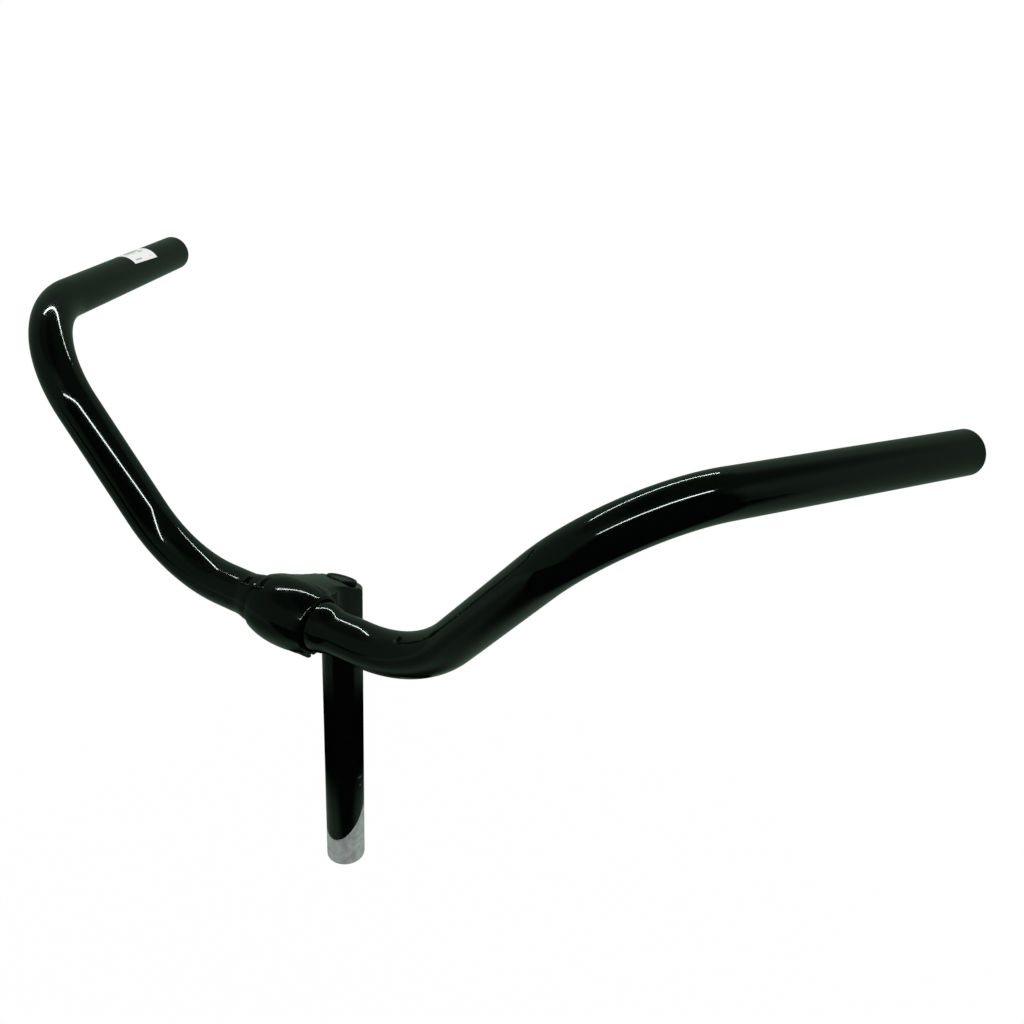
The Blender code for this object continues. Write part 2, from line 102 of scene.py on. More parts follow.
def bent_axis(spacing):
    """Half of the tube's centre line: straight runs joined by arcs of circles.

    Each arc touches its two runs at radius * tan(turn / 2) from their corner, and a point on it
    is centre + spoke * cos(a) + side * sin(a).
    """
    points = [np.array(AXIS_CORNERS[0][0])[None]]
    reached = np.array(AXIS_CORNERS[0][0])
    for k in (1, 2):
        corner, radius = np.array(AXIS_CORNERS[k][0]), AXIS_CORNERS[k][1]
        run_in = corner - np.array(AXIS_CORNERS[k - 1][0])
        run_out = np.array(AXIS_CORNERS[k + 1][0]) - corner
        run_in /= np.linalg.norm(run_in)
        run_out /= np.linalg.norm(run_out)
        turn = math.acos(run_in @ run_out)
        touch = corner - run_in * radius * math.tan(turn / 2)
        inward = run_out - run_in * (run_in @ run_out)
        inward /= np.linalg.norm(inward)
        steps = max(2, int(np.linalg.norm(touch - reached) / spacing))
        share = np.linspace(0.0, 1.0, steps + 1)[1:, None]
        points.append(reached + (touch - reached) * share)
        angle = np.linspace(0.0, turn, max(8, int(turn * radius / spacing)))[1:, None]
        arc = touch + inward * radius * (1.0 - np.cos(angle)) + run_in * radius * np.sin(angle)
        points.append(arc)
        reached = arc[-1]
    end = np.array(AXIS_CORNERS[3][0])
    steps = int(np.linalg.norm(end - reached) / spacing)
    points.append(reached + (end - reached) * np.linspace(0.0, 1.0, steps + 1)[1:, None])
    return np.concatenate(points)


def carried_frames(path):
    """A tangent and two normals at each point, turned from one to the next by the least angle.

    Each next normal is the last one less its part along the new tangent, made a unit again.
    """
    step = np.diff(path, axis=0)
    step /= np.linalg.norm(step, axis=1)[:, None]
    tangent = np.concatenate([step[:1], step[1:] + step[:-1], step[-1:]])
    tangent /= np.linalg.norm(tangent, axis=1)[:, None]
    normal = np.empty_like(tangent)
    normal[0] = (0.0, 0.0, 1.0) - tangent[0] * tangent[0, 2]
    normal[0] /= np.linalg.norm(normal[0])
    for k in range(1, len(path)):
        moved = normal[k - 1] - tangent[k] * (normal[k - 1] @ tangent[k])
        normal[k] = moved / np.linalg.norm(moved)
    return tangent, normal, np.cross(tangent, normal)


def smoothed(mesh, sharp):
    """Smooth a mesh's shading, but for the edges that turn by more than so many degrees."""
    mesh.shade_smooth()
    mesh.set_sharp_from_angle(angle=math.radians(sharp))
    return mesh


def grid_mesh(name, rings, closed_loop=False, sharp=40.0):
    """A mesh over rings of points, each ring closed, with faces between neighbours.

    In a closed loop the last ring is joined to the first as well.
    """
    rows, columns = rings.shape[:2]
    index = np.arange(rows * columns).reshape(rows, columns)
    below = index if closed_loop else index[:-1]
    above = np.roll(index, -1, axis=0) if closed_loop else index[1:]
    faces = np.stack([below, np.roll(below, -1, 1), np.roll(above, -1, 1), above], -1)
    mesh = bpy.data.meshes.new(name)
    mesh.from_pydata(rings.reshape(-1, 3), [], faces.reshape(-1, 4))
    mesh.update()
    return smoothed(mesh, sharp)


def place(name, mesh, material):
    """Put a mesh in the scene at the origin, unturned and unscaled, with its material."""
    obj = bpy.data.objects.new(name, mesh)
    bpy.context.scene.collection.objects.link(obj)
    mesh.materials.append(material)
    return obj


def round_angles(count=AROUND):
    """Angles evenly round a circle, from nought, with the full turn left out."""
    return np.linspace(0.0, 2.0 * np.pi, count, endpoint=False)


def swept(path, radii, frames):
    """Rings of points round a path: centre + radius * (normal * cos(a) + side * sin(a))."""
    _, normal, side = frames
    angle = round_angles()[:, None]
    spoke = normal[:, None] * np.cos(angle) + side[:, None] * np.sin(angle)
    return path[:, None] + radii[:, None, None] * spoke


half = bent_axis(RING_SPACING)
axis = np.concatenate([half[:0:-1] * (-1.0, 1.0, 1.0), half])
frames = carried_frames(axis)
out = np.abs(axis[:, 0])
ease = np.clip((out - SWAGE[0]) / (SWAGE[1] - SWAGE[0]), 0.0, 1.0)
outer = CENTRE_RADIUS + (GRIP_RADIUS - CENTRE_RADIUS) * ease * ease * (3.0 - 2.0 * ease)
inner = outer - WALL
lip = np.linspace(0.0, np.pi / 2, 6)


def lip_rings(at, outward):
    """Rings that round the wall's outer edge over onto its flat end, then step inside.

    The rounding is a quarter circle: the radius is the grip's less LIP_RADIUS * (1 - cos(a)).
    """
    turn = np.array([f[at] for f in frames])
    radii = np.concatenate([
        GRIP_RADIUS - LIP_RADIUS * (1.0 - np.cos(lip)),
        [GRIP_RADIUS - WALL + LIP_STEP, GRIP_RADIUS - WALL],
    ])
    along = np.concatenate([LIP_RADIUS * np.sin(lip) - LIP_RADIUS, [0.0, -LIP_STEP]])
    path = axis[at] + turn[0] * outward * along[:, None]
    same = [np.repeat(t[None], len(radii), 0) for t in turn]
    return swept(path, radii, same)


outside = swept(axis, outer, frames)[1:-1]
inside = swept(axis[::2], inner[::2], [f[::2] for f in frames])[1:-1]
tube = np.concatenate([
    outside, lip_rings(-1, 1.0), inside[::-1], lip_rings(0, -1.0)[::-1],
]) + CLAMP


def feed(tree, target, inputs):
    """Give a node its inputs: a socket is linked in, and anything else is the input's value."""
    for key, value in inputs.items():
        if isinstance(value, bpy.types.NodeSocket):
            tree.links.new(value, target.inputs[key])
        else:
            target.inputs[key].default_value = value


def node(tree, kind, inputs):
    """A new node in a tree, with its inputs."""
    made = tree.nodes.new("ShaderNode" + kind)
    feed(tree, made, inputs)
    return made


def mixed(tree, kind, factor, first, second):
    """A mix of two colours (RGBA) or two numbers (FLOAT)."""
    mix = tree.nodes.new("ShaderNodeMix")
    mix.data_type = kind
    feed(tree, mix, {"Factor": factor, "A": first, "B": second})
    return mix.outputs["Result"]


def measured(tree, operation, vector, other):
    """The distance between two vectors (DISTANCE), or one along another (DOT_PRODUCT)."""
    gauge = tree.nodes.new("ShaderNodeVectorMath")
    gauge.operation = operation
    feed(tree, gauge, {0: vector, 1: other})
    return gauge.outputs["Value"]


def ranged(tree, value, levels, bounds=(0.0, 1.0), smooth=False):
    """A value carried from between its bounds to between two levels, and held at both ends."""
    level = tree.nodes.new("ShaderNodeMapRange")
    level.interpolation_type = "SMOOTHSTEP" if smooth else "LINEAR"
    feed(tree, level, {
        "Value": value, "From Min": bounds[0], "From Max": bounds[1],
        "To Min": levels[0], "To Max": levels[1],
    })
    return level.outputs["Result"]


def two_tones(tree, value, places, first, second):
    """A colour that goes from one tone to another as a value passes between two places."""
    ramp = node(tree, "ValToRGB", {"Fac": value})
    for element, at, tone in zip(ramp.color_ramp.elements, places, (first, second)):
        element.position = at
        element.color = (*tone, 1.0)
    return ramp.outputs["Color"]


def noise(tree, vector, scale, detail):
    """Soft noise between nought and one."""
    made = node(tree, "TexNoise", {"Vector": vector, "Scale": scale, "Detail": detail})
    return made.outputs["Fac"]


def surfaced(name):
    """A new material, with its node tree, its shader and its object coordinates."""
    material = bpy.data.materials.new(name)
    material.use_nodes = True
    tree = material.node_tree
    on_object = node(tree, "TexCoord", {}).outputs["Object"]
    return material, tree, tree.nodes["Principled BSDF"], on_object


def painted(
    name, colour, roughness, peel, peel_scale, flow, specular=0.5, wear_and_sheen_spots=(), wear_and_sheen_colour=None
):
    """Stoved paint: a deep colour, a fine orange peel, a slow wave from the flow, and paler spots.

    Each spot is a place and a radius where the colour goes paler: wear on the stem, and a painted
    highlight on the cap's lid, where light falls on its top.
    """
    material, tree, shader, on_object = surfaced(name)
    fine = noise(tree, on_object, peel_scale, 2.0)
    slow = noise(tree, on_object, 60.0, 1.0)
    wave = node(tree, "Bump", {"Height": slow, "Strength": flow, "Distance": 0.001})
    ripple = node(tree, "Bump", {
        "Height": fine, "Strength": peel, "Distance": 0.0001, "Normal": wave.outputs["Normal"],
    })
    shade = two_tones(
        tree, fine, (0.35, 0.65), [c * 0.75 for c in colour], [c * 1.25 for c in colour]
    )
    # Each spot mixes in a paler colour: real wear on the stem, a painted highlight on the cap's
    # lid.
    for spot, radius in wear_and_sheen_spots:
        away = measured(tree, "DISTANCE", on_object, spot)
        wear_and_sheen_share = ranged(tree, away, (0.0, 0.8), (radius * 1.3, radius * 0.6))
        shade = mixed(tree, "RGBA", wear_and_sheen_share, shade, (*wear_and_sheen_colour, 1.0))
    feed(tree, shader, {
        "Base Color": shade, "Roughness": ranged(tree, slow, (roughness * 0.85, roughness * 1.25)),
        "Specular IOR Level": specular, "Normal": ripple.outputs["Normal"],
    })
    return material


bar_paint = painted("bar_gloss_paint", (0.0006, 0.0010, 0.0008), 0.07, 0.0010, 700.0, 0.012)
bar = place("bar", grid_mesh("bar", tube[::-1], closed_loop=True), bar_paint)
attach(bar, "bar")
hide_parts("handlebar")


# Stem. One aluminium forging, lacquered black: an olive-shaped barrel round the bar, a neck that
# flows into the head of the quill, and two ears under the barrel with the slot between them.
BARREL_HALF = 0.0185
BARREL_RADIUS = 0.0176
BARREL_END_RADIUS = 0.0150
BARREL_EDGE = 0.0013
OLIVE_POWER = 2.2
BORE_RADIUS = 0.01285
BORE_FLARE_AT = 0.0176
NECK_SLOPE = math.radians(24.5)
NECK_HALF = 0.0163
NECK_TAPER = 0.0056
NECK_BOTTOM = -0.0105
NECK_DROP = 0.0080
NECK_DROP_FROM = 0.0193
NECK_EDGE = 0.0020
QUILL_RADIUS = 0.0111
HEAD_LEVEL = 0.1254
HEAD_TILT = math.radians(26.0)
FOOT_SLOPE = math.radians(35.0)
FOOT_LEVEL = -0.046 + QUILL_RADIUS / math.tan(FOOT_SLOPE)
HOLLOW_RADIUS = 0.0080
HOLLOW_TOP = 0.02
CAP_SEAT_RADIUS = 0.0085
CAP_SEAT_DEPTH = 0.0002
SLOT_AT = (0.0028, 0.0052)
PINCH_DROP = 0.0179
PINCH_HOLE_RADIUS = 0.0032
PINCH_HOLE_REACH = (-0.0045, 0.02)
EAR_BACK = 0.01353
EAR_SLANT = ((-0.0075, -0.01592), (0.0016, -0.0245))
EAR_TOP = -0.0090
EAR_HALF = 0.0095
EAR_EDGE = 0.0010
EAR_FILLET = 0.0018
OLIVE_SLOPE = 0.96
OLIVE_LIMIT = 1.1
NECK_REACH = 0.0095
NECK_FILLET = 0.0100
DROP_POWER = 1.6
CROWN_END = 0.031
HEAD_START = 0.022
CROWN_FILLET = 0.0012
SHOULDER_EDGE = 0.0034
SHOULDER_LOSS = 0.0020
BARREL_FILLET = 0.0005
FILLET_GROWTH = 0.0024
FILLET_WIDTH = 0.0165
BORE_FLARE = 0.9


def rounded_meet(a, b, radius):
    """The part inside both forms, with the edge between them rounded to a circle."""
    u, v = np.maximum(a + radius, 0.0), np.maximum(b + radius, 0.0)
    return np.minimum(np.maximum(a, b), -radius) * (np.maximum(a, b) < -radius) + (
        np.maximum(a, b) >= -radius
    ) * (np.hypot(u, v) - radius)


def melted(a, b, width):
    """Both forms together, with a fillet where they lie within the width of each other."""
    share = np.clip(0.5 + 0.5 * (b - a) / width, 0.0, 1.0)
    return b + (a - b) * share - width * share * (1.0 - share)


def forging(p):
    """Distance from the forged stem's skin, below zero in the metal, for points of any shape.

    Each form is a distance: a radius less the form's own, or a height over its plane. Forms are
    joined with fillets, and the bores, the slot and the bolt's hole are cut away with plain edges.
    """
    x, y, z = p[..., 0], p[..., 1] - CLAMP[1], p[..., 2] - CLAMP[2]
    flank = BARREL_HALF - BARREL_EDGE
    share = np.minimum(np.abs(x) / flank, OLIVE_LIMIT)
    swell = BARREL_RADIUS - BARREL_END_RADIUS
    round_bar = np.hypot(y, z)
    olive = (round_bar - BARREL_RADIUS + swell * share**OLIVE_POWER) * OLIVE_SLOPE
    barrel = rounded_meet(olive, np.abs(x) - BARREL_HALF, BARREL_EDGE)

    start = BARREL_RADIUS * math.sin(NECK_SLOPE)
    root = -CLAMP[1] - QUILL_RADIUS
    t = np.clip((y - start) / (root - start), 0.0, 1.0)
    wide = NECK_HALF - NECK_TAPER * t * t * (3.0 - 2.0 * t)
    crown = (BARREL_RADIUS - swell * share**OLIVE_POWER) / math.cos(NECK_SLOPE)
    crown = crown - y * math.tan(NECK_SLOPE)
    drop = np.clip((y - NECK_DROP_FROM) / (root - NECK_DROP_FROM), 0.0, 1.0) ** DROP_POWER
    bottom = NECK_BOTTOM - NECK_DROP * drop
    neck = rounded_meet(np.abs(x) - wide, bottom - z, NECK_EDGE)
    neck = np.maximum(neck, np.maximum(start - y, y - root - NECK_REACH))
    fall = (z - crown) * math.cos(NECK_SLOPE) + 0.5 * np.maximum(y - CROWN_END, 0.0)

    head_y, height = p[..., 1], p[..., 2]
    round_quill = np.hypot(x, head_y)
    head = (height - HEAD_LEVEL + head_y * math.tan(HEAD_TILT)) * math.cos(HEAD_TILT)
    foot = (FOOT_LEVEL + head_y / math.tan(FOOT_SLOPE) - height) * math.sin(FOOT_SLOPE)
    column = melted(neck, round_quill - QUILL_RADIUS, NECK_FILLET)
    top = melted(fall, head + 0.5 * np.maximum(HEAD_START - y, 0.0), CROWN_FILLET)
    flow = BARREL_FILLET + FILLET_GROWTH * np.minimum(np.abs(x) / FILLET_WIDTH, 1.0) ** 2
    body = melted(rounded_meet(column, top, SHOULDER_EDGE - SHOULDER_LOSS * t), barrel, flow)
    body = np.maximum(melted(body, pinch_ears(x, y, z), EAR_FILLET), foot)

    flare = BORE_FLARE * np.maximum(np.abs(x) - BORE_FLARE_AT, 0.0)
    body = np.maximum(body, BORE_RADIUS - round_bar + flare)
    slot = np.maximum(np.maximum(SLOT_AT[0] - y, y - SLOT_AT[1]), z)
    body = np.maximum(body, -slot)
    pinch = np.hypot(x, z + PINCH_DROP) - PINCH_HOLE_RADIUS
    pinch = np.maximum(pinch, PINCH_HOLE_REACH[0] - y)
    body = np.maximum(body, -np.maximum(pinch, y - PINCH_HOLE_REACH[1]))
    hollow = np.maximum(round_quill - HOLLOW_RADIUS, height - HOLLOW_TOP)
    body = np.maximum(body, -hollow)
    seat = np.hypot(x, head_y / math.cos(HEAD_TILT)) - CAP_SEAT_RADIUS
    seat = np.maximum(seat, -CAP_SEAT_DEPTH - head)
    return np.maximum(body, -seat)


def pinch_ears(x, y, z):
    """The lug under the barrel: planes of its four sides and its two faces, edges rounded."""
    (first_y, first_z), (last_y, last_z) = EAR_SLANT
    length = math.hypot(last_y - first_y, last_z - first_z)
    across, down = (last_z - first_z) / length, (last_y - first_y) / length
    slant = (y - first_y) * across - (z - first_z) * down
    sides = rounded_meet(slant, last_z - z, EAR_EDGE)
    sides = rounded_meet(sides, y - EAR_BACK, EAR_EDGE)
    sides = np.maximum(sides, np.maximum(first_y - y, z - EAR_TOP))
    return rounded_meet(sides, np.abs(x) - EAR_HALF, EAR_EDGE)


def skin_of(field, xs, ys, zs):
    """The closed skin where a distance field is zero, found on a grid of cells.

    Every grid edge that crosses zero gives a point and a slope. Each cell then gets the one point
    that lies nearest to the planes of its own crossings, by least squares, and every crossing
    edge becomes a face between the four cells round it.
    """
    tiny, pull, room_share = 2e-5, 0.04, 0.05
    shape = (len(xs), len(ys), len(zs))
    grid = np.stack(np.meshgrid(xs, ys, zs, indexing="ij"), -1)
    value = field(grid)
    cells = tuple(n - 1 for n in shape)
    total = cells[0] * cells[1] * cells[2]
    sums = np.zeros((total, 13))
    quads = []
    for direction in range(3):
        first = [slice(None)] * 3
        second = [slice(None)] * 3
        first[direction] = slice(None, -1)
        second[direction] = slice(1, None)
        a, b = value[tuple(first)], value[tuple(second)]
        crossing = (a < 0) != (b < 0)
        for other in range(3):
            if other != direction:
                edge = [slice(None)] * 3
                edge[other] = slice(0, 1)
                crossing[tuple(edge)] = False
                edge[other] = slice(-1, None)
                crossing[tuple(edge)] = False
        where = np.argwhere(crossing)
        start = grid[tuple(where.T)]
        step = np.zeros(3, int)
        step[direction] = 1
        stop = grid[tuple((where + step).T)]
        va, vb = a[crossing], b[crossing]
        low_end, high_end = np.zeros(len(where)), np.ones(len(where))
        inward = va > vb
        share = va / (va - vb)
        for _ in range(6):
            point = start + (stop - start) * share[:, None]
            here = field(point)
            same = (here < 0) == (va < 0)
            low_end = np.where(same, share, low_end)
            high_end = np.where(same, high_end, share)
            share = (low_end + high_end) / 2
        point = start + (stop - start) * share[:, None]
        slope = np.stack([
            field(point + shift) - field(point - shift) for shift in tiny * np.eye(3)
        ], -1)
        slope /= np.linalg.norm(slope, axis=1)[:, None] + 1e-12
        reach = (slope * point).sum(1)
        terms = np.concatenate([
            slope[:, [0]] * slope, slope[:, [1]] * slope[:, 1:], slope[:, [2]] ** 2,
            slope * reach[:, None], point, np.ones((len(point), 1)),
        ], 1)
        sides = [k for k in range(3) if k != direction]
        round_edge = []
        for da, db in ((0, 0), (1, 0), (1, 1), (0, 1)):
            cell = where.copy()
            cell[:, sides[0]] -= da
            cell[:, sides[1]] -= db
            flat = (cell[:, 0] * cells[1] + cell[:, 1]) * cells[2] + cell[:, 2]
            round_edge.append(flat)
            for k in range(13):
                sums[:, k] += np.bincount(flat, terms[:, k], total)
        quad = np.stack(round_edge, -1)
        flip = inward if direction == 1 else ~inward
        quads.append(np.where(flip[:, None], quad[:, ::-1], quad))
    quads = np.concatenate(quads)
    used = np.unique(quads)
    s = sums[used]
    mean = s[:, 9:12] / s[:, 12:13]
    fit = np.empty((len(used), 3, 3))
    fit[:, 0, 0], fit[:, 0, 1], fit[:, 0, 2] = s[:, 0], s[:, 1], s[:, 2]
    fit[:, 1, 0], fit[:, 1, 1], fit[:, 1, 2] = s[:, 1], s[:, 3], s[:, 4]
    fit[:, 2, 0], fit[:, 2, 1], fit[:, 2, 2] = s[:, 2], s[:, 4], s[:, 5]
    rest = s[:, 6:9] - np.einsum("nij,nj->ni", fit, mean)
    moved = np.linalg.solve(fit + pull * np.eye(3), rest[..., None])[..., 0]
    index = np.stack(np.unravel_index(used, cells), -1)
    lows = np.stack([xs[index[:, 0]], ys[index[:, 1]], zs[index[:, 2]]], -1)
    highs = np.stack([xs[index[:, 0] + 1], ys[index[:, 1] + 1], zs[index[:, 2] + 1]], -1)
    room = (highs - lows) * room_share
    points = np.clip(mean + moved, lows - room, highs + room)
    return points, np.searchsorted(used, quads)


xs = np.arange(-0.01925, 0.0193, 0.0005)
ys = np.arange(-0.05725, 0.0122, 0.0005)
zs = np.concatenate([
    np.arange(-0.0472, -0.0130, 0.0006),
    np.arange(-0.0130, 0.0950, 0.0030),
    np.arange(0.0950, 0.1480, 0.0005),
])
stem_points, stem_faces = skin_of(forging, xs, ys, zs)
stem_mesh = bpy.data.meshes.new("forged_stem")
stem_mesh.from_pydata(stem_points, [], stem_faces)
stem_mesh.update()
rubbed_spots = (
    ((0.0111, -0.0005, -0.0014), 0.0008),
    ((0.0110, 0.0010, -0.0019), 0.0009),
    ((0.0111, 0.0005, -0.0076), 0.0007),
)
stem_paint = painted(
    "stem_lacquer", (0.0006, 0.0010, 0.0008), 0.085, 0.0016, 600.0, 0.02, 0.40,
    rubbed_spots, (0.055, 0.058, 0.058),
)
forged_stem = place("forged_stem", smoothed(stem_mesh, 38.0), stem_paint)
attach(forged_stem, "stem")
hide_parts("stem")


# Top cap. A round moulded plug with a shallow dish inside a rounded rim, pushed into the head
# over the expander bolt. It lies on the sloping seat that is cut into the head.
LID_RADIUS = 0.00825
LID_THICK = 0.0018
LID_BASE = 0.0001
RIM_RADIUS = 0.0008
DISH_RADIUS = 0.0064
DISH_DEPTH = 0.0006
PLUG_RADII = (0.0070, 0.0056)
PLUG_FOOT = -0.0042
ON_HEAD = (
    (1.0, 0.0, 0.0),
    (0.0, math.cos(HEAD_TILT), -math.sin(HEAD_TILT)),
    (0.0, math.sin(HEAD_TILT), math.cos(HEAD_TILT)),
)


def lathe(profile, around=AROUND):
    """Rings of points round Z, one for each (radius, height) of a profile."""
    angle = round_angles(around)
    ring = np.stack([np.cos(angle), np.sin(angle), np.zeros(around)], -1)
    profile = np.asarray(profile, float)
    return ring * profile[:, None, :1] + profile[:, None, 1:] * (0.0, 0.0, 1.0)


def faced(mesh, sharp):
    """Close a mesh's poles, turn its faces outwards, and smooth it."""
    bm = bmesh.new()
    bm.from_mesh(mesh)
    bmesh.ops.remove_doubles(bm, verts=bm.verts, dist=1e-7)
    bmesh.ops.recalc_face_normals(bm, faces=bm.faces)
    bm.to_mesh(mesh)
    bm.free()
    return smoothed(mesh, sharp)


def closed_form(name, rings, sharp=32.0):
    """A solid from rings whose first and last have no radius, with its poles closed."""
    return faced(grid_mesh(name, rings[:, ::-1]), sharp)


def shifted(mesh, shift, axes=((1.0, 0.0, 0.0), (0.0, 1.0, 0.0), (0.0, 0.0, 1.0))):
    """Turn a mesh's points so that X, Y and Z go to the three axes given, and shift them."""
    points = np.empty(len(mesh.vertices) * 3)
    mesh.vertices.foreach_get("co", points)
    mesh.vertices.foreach_set("co", (points.reshape(-1, 3) @ np.array(axes) + shift).ravel())
    mesh.update()
    return mesh


lid_top = LID_BASE + LID_THICK
dish = [
    (r, lid_top - DISH_DEPTH + 0.0002 * (r / DISH_RADIUS) ** 2)
    for r in np.linspace(0.0, DISH_RADIUS, 9)
]
dish_side = [
    (DISH_RADIUS + 0.0001, lid_top - 0.00034),
    (DISH_RADIUS + 0.00025, lid_top - 0.0001),
    (DISH_RADIUS + 0.0005, lid_top),
]
edge = [
    (LID_RADIUS + RIM_RADIUS * (math.sin(a) - 1.0), lid_top + RIM_RADIUS * (math.cos(a) - 1.0))
    for a in np.linspace(0.0, np.pi / 2, 7)
]
under = [
    (LID_RADIUS, LID_BASE + 0.0001), (LID_RADIUS - 0.0001, LID_BASE), (PLUG_RADII[0], LID_BASE),
    (PLUG_RADII[0], PLUG_FOOT), (PLUG_RADII[1], PLUG_FOOT), (PLUG_RADII[1], LID_BASE),
    (0.0, LID_BASE),
]
cap_mesh = closed_form("plug_cap", lathe(dish + dish_side + edge + under), 40.0)
cap_mesh = shifted(cap_mesh, (0.0, 0.0, HEAD_LEVEL), ON_HEAD)
lid_middle = (0.0, lid_top * math.sin(HEAD_TILT), HEAD_LEVEL + lid_top * math.cos(HEAD_TILT))
# The lid's middle is painted paler than its rim: a painted highlight where light falls on the top.
cap_plastic = painted(
    "cap_moulding", (0.003, 0.004, 0.003), 0.34, 0.16, 1600.0, 0.03, 0.12,
    ((lid_middle, 0.0056),), (0.030, 0.033, 0.029),
)
plug_cap = place("plug_cap", cap_mesh, cap_plastic)
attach(plug_cap, "stem")
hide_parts("top_cap")


# Pinch bolt and washer. A blackened M6 bolt with a 10 mm hexagon head, stamped hollow and
# chamfered, and a plain stamped washer. They stand behind the rear ear and close the slot.
PINCH_SEAT = CLAMP + (0.0, EAR_BACK, -PINCH_DROP)
PINCH_WASHER_THICK = 0.0012
SEAT_GAP = 0.0003


def hexagon_rings(flats, levels):
    """Rings of (radius, height) that follow a hexagon, corner on X, cut round to their radius.

    The hexagon's own radius is flats / 2 / cos(angle from the middle of the nearest flat).
    """
    angle = round_angles()
    side = flats / 2 / np.cos(angle % (np.pi / 3) - np.pi / 6)
    levels = np.asarray(levels, float)
    reach = np.minimum(side, levels[:, :1])
    return np.stack([reach * np.cos(angle), reach * np.sin(angle), levels[:, 1:] + 0.0 * angle], -1)


def thread_rings(radius, depth, pitch, low_end, high_end, steps):
    """A screw thread: the radius falls by the depth where height / pitch - turn passes a half."""
    angle = round_angles()
    height = np.linspace(low_end, high_end, steps)[:, None]
    turn_share = (height / pitch - angle / (2.0 * np.pi)) % 1.0
    fade = np.clip(np.minimum(height - low_end, high_end - height) / pitch, 0.0, 1.0)
    flank = np.clip(1.35 - 2.7 * np.abs(turn_share - 0.5), 0.0, 1.0)
    reach = radius - depth * fade * flank
    return np.stack([reach * np.cos(angle), reach * np.sin(angle), height + 0.0 * angle], -1)


def flat_rings(height, first, last, count=4):
    """Flat rings from one radius to another at one height."""
    return lathe([(r, height) for r in np.linspace(first, last, count)])


def washer_mesh(name, bore, outer, thick, edge=0.00018):
    """A flat ring with small rounded edges, its profile carried once round."""
    return grid_mesh(name, lathe([
        (bore, edge), (bore + edge, 0.0), (outer - edge, 0.0), (outer, edge),
        (outer, thick - edge), (outer - edge, thick), (bore + edge, thick), (bore, thick - edge),
    ]), closed_loop=True, sharp=50.0)


def metal(name, colour, roughness, grain_scale, stretch, metallic=1.0, bump=0.25):
    """Plated, blackened or bare metal: drawn-out tool marks, and blotches of tint and gloss."""
    material, tree, shader, on_object = surfaced(name)
    drawn = node(tree, "Mapping", {"Vector": on_object, "Scale": stretch})
    grain = noise(tree, drawn.outputs["Vector"], grain_scale, 5.0)
    blotch = noise(tree, on_object, 260.0, 3.0)
    tint = two_tones(
        tree, blotch, (0.3, 0.7), [c * 0.74 for c in colour], [min(1.0, c * 1.1) for c in colour]
    )
    ripple = node(tree, "Bump", {"Height": grain, "Strength": bump, "Distance": 0.00004})
    feed(tree, shader, {
        "Base Color": tint, "Roughness": ranged(tree, grain, (roughness * 0.7, roughness * 1.35)),
        "Metallic": metallic, "Normal": ripple.outputs["Normal"],
    })
    return material


TO_RIDER = ((1.0, 0.0, 0.0), (0.0, 0.0, -1.0), (0.0, 1.0, 0.0))
PINCH_TIP = -0.01833
pinch_rings = np.concatenate([
    flat_rings(PINCH_TIP, 0.0, 0.0024),
    thread_rings(0.0030, 0.00042, 0.0010, PINCH_TIP + 0.0006, -0.0004, 110),
    flat_rings(0.0, 0.0030, 0.0045),
    hexagon_rings(0.010, [
        (0.0049, 0.0), (0.0053, 0.0001), (0.0058, 0.0004), (0.0058, 0.0032),
        (0.0054, 0.0036), (0.0050, 0.0039), (0.0046, 0.0040),
    ]),
    lathe([(0.0040, 0.0040), (0.0038, 0.0037), (0.0036, 0.0036)]),
    flat_rings(0.0036, 0.0034, 0.0),
])
pinch_mesh = shifted(
    closed_form("hex_pinch_bolt", pinch_rings),
    PINCH_SEAT + (0.0, PINCH_WASHER_THICK + 2 * SEAT_GAP, 0.0), TO_RIDER,
)
blackened = metal("blackened_steel", (0.060, 0.058, 0.056), 0.34, 2400.0, (1.0, 0.2, 1.0))
hex_bolt = place("hex_pinch_bolt", pinch_mesh, blackened)
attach(hex_bolt, "stem")
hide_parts("pinch_bolt")

stamped_mesh = shifted(
    washer_mesh("stamped_washer", 0.0032, 0.00575, PINCH_WASHER_THICK),
    PINCH_SEAT + (0.0, SEAT_GAP, 0.0), TO_RIDER,
)
stamped_washer = place("stamped_washer", stamped_mesh, blackened)
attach(stamped_washer, "stem")
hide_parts("pinch_washer")


# Expander bolt and washer. A long zinc-plated M8 bolt with a knurled socket head. Its head turns
# on a washer in the recess under the cap, and its thread draws the wedge up inside the steerer.
UNDER_HEAD = 0.1071
HEAD_HEIGHT = 0.0080
HEAD_RADIUS = 0.0065
WASHER_LEVEL = 0.1053
LONG_TIP = -0.0650 - UNDER_HEAD
KNURL_COUNT = 32.0
KNURL_DEPTH = 0.018
knurl = lathe([(HEAD_RADIUS, z) for z in np.linspace(0.0012, 0.0064, 9)])
ridges = 0.5 + 0.5 * np.cos(KNURL_COUNT * round_angles())
knurl[..., :2] *= 1.0 - KNURL_DEPTH * ridges[None, :, None]
socket = hexagon_rings(0.006, [
    (0.0037, HEAD_HEIGHT - 0.0003), (0.0036, HEAD_HEIGHT - 0.0008), (0.0036, HEAD_HEIGHT - 0.0040),
    (0.0030, HEAD_HEIGHT - 0.0040), (0.0015, HEAD_HEIGHT - 0.0042),
])
